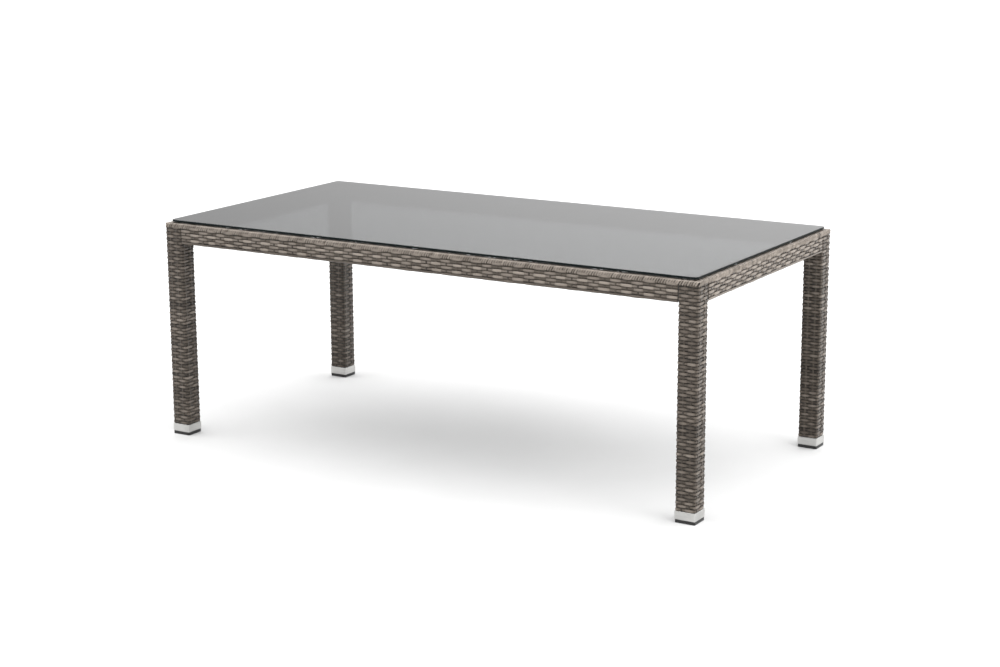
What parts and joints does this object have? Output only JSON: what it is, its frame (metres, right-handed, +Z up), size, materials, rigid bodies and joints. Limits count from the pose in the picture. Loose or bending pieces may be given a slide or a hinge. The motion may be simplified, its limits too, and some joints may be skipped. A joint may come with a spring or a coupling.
{
  "type": "wicker dining table",
  "caption": "Rectangular garden table: woven synthetic-rattan rails and square legs on an aluminium frame, metal feet with black glides, and a tinted glass top.",
  "frame": {"origin": "on the floor under the middle of the table", "axes": "+X along the table's length, +Y towards the back long side, +Z up"},
  "size_m": [2, 1, 0.75],
  "materials": {
    "frame_tube": "powder coated",
    "hidden_plastic": "moulded",
    "stake": "extruded strand",
    "weave": "woven flat strand",
    "shoe": "brushed",
    "glide": "moulded",
    "screw": "zinc plated",
    "pad": "clear silicone",
    "glass": "smoked, polished"
  },
  "bodies": {
    "frame": {"leg_tube_front_left": "frame_tube", "leg_tube_front_right": "frame_tube", "leg_tube_back_left": "frame_tube", "leg_tube_back_right": "frame_tube", "rail_tube_front": "frame_tube", "rail_tube_back": "frame_tube", "rail_tube_left": "frame_tube", "rail_tube_right": "frame_tube", "leg_plug_front_left": "hidden_plastic", "leg_plug_front_right": "hidden_plastic", "leg_plug_back_left": "hidden_plastic", "leg_plug_back_right": "hidden_plastic", "foot_insert_front_left": "hidden_plastic", "foot_insert_front_right": "hidden_plastic", "foot_insert_back_left": "hidden_plastic", "foot_insert_back_right": "hidden_plastic", "leg_stakes_front_left": "stake", "leg_stakes_front_right": "stake", "leg_stakes_back_left": "stake", "leg_stakes_back_right": "stake", "rail_stakes_front": "stake", "rail_stakes_back": "stake", "rail_stakes_left": "stake", "rail_stakes_right": "stake", "leg_weave_front_left": "weave", "leg_weave_front_right": "weave", "leg_weave_back_left": "weave", "leg_weave_back_right": "weave", "rail_weave_front": "weave", "rail_weave_back": "weave", "rail_weave_left": "weave", "rail_weave_right": "weave", "foot_shoe_front_left": "shoe", "foot_shoe_front_right": "shoe", "foot_shoe_back_left": "shoe", "foot_shoe_back_right": "shoe", "glide_front_left": "glide", "glide_front_right": "glide", "glide_back_left": "glide", "glide_back_right": "glide", "glide_screws": "screw", "glass_pads": "pad"},
    "glass": {"glass_top": "glass"}
  },
  "joints": [
    {"name": "glass_lift", "type": "slide", "parent": "frame", "child": "glass", "axis": [0, 0, 1], "range_m": [0, 0.12]}
  ]
}
